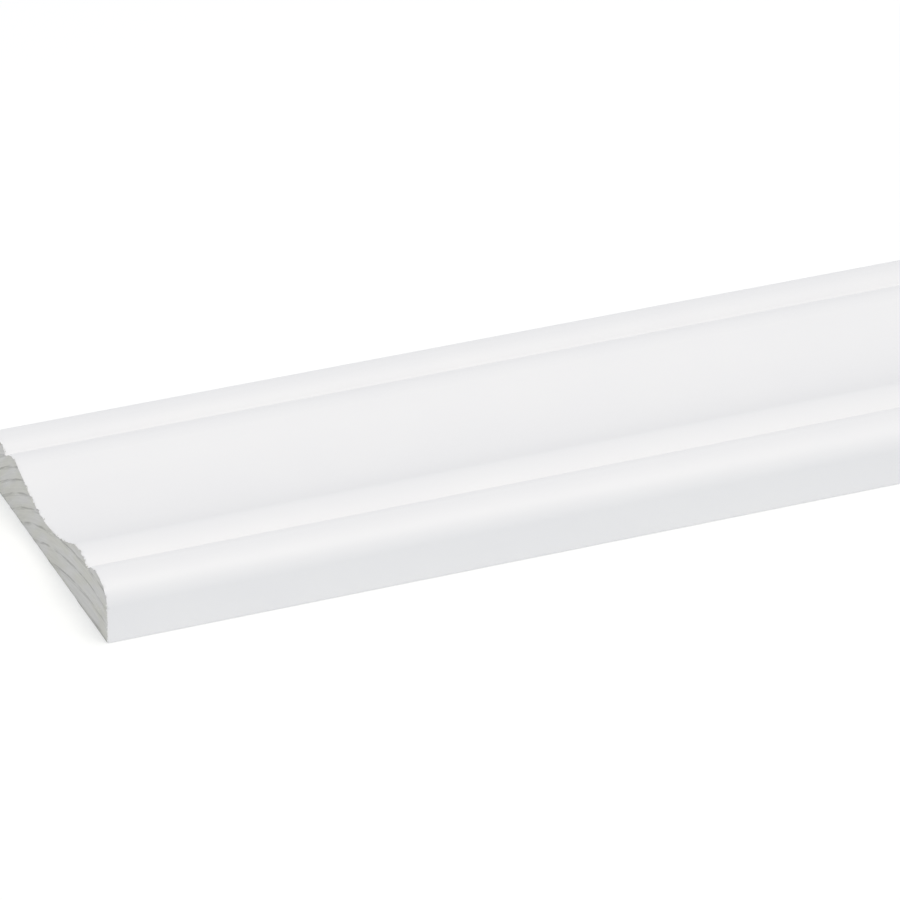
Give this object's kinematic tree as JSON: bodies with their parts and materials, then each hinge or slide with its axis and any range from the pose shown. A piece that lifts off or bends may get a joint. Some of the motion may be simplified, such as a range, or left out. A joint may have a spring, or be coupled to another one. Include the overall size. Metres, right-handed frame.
{
  "type": "decorative moulding",
  "caption": "Length of primed wood moulding with rounded raised borders, two beads and a broad shallow hollow, cut square at both ends.",
  "frame": {"origin": "centre of the flat back, midway between the two cut ends and the two long edges", "axes": "+X along the moulding, +Y across its width, +Z from the flat back out to the shaped face"},
  "size_m": [0.2, 0.069, 0.012],
  "materials": {
    "primed_softwood": "factory sprayed white primer, satin"
  },
  "bodies": {
    "root": {"moulding": "primed_softwood"}
  },
  "joints": []
}
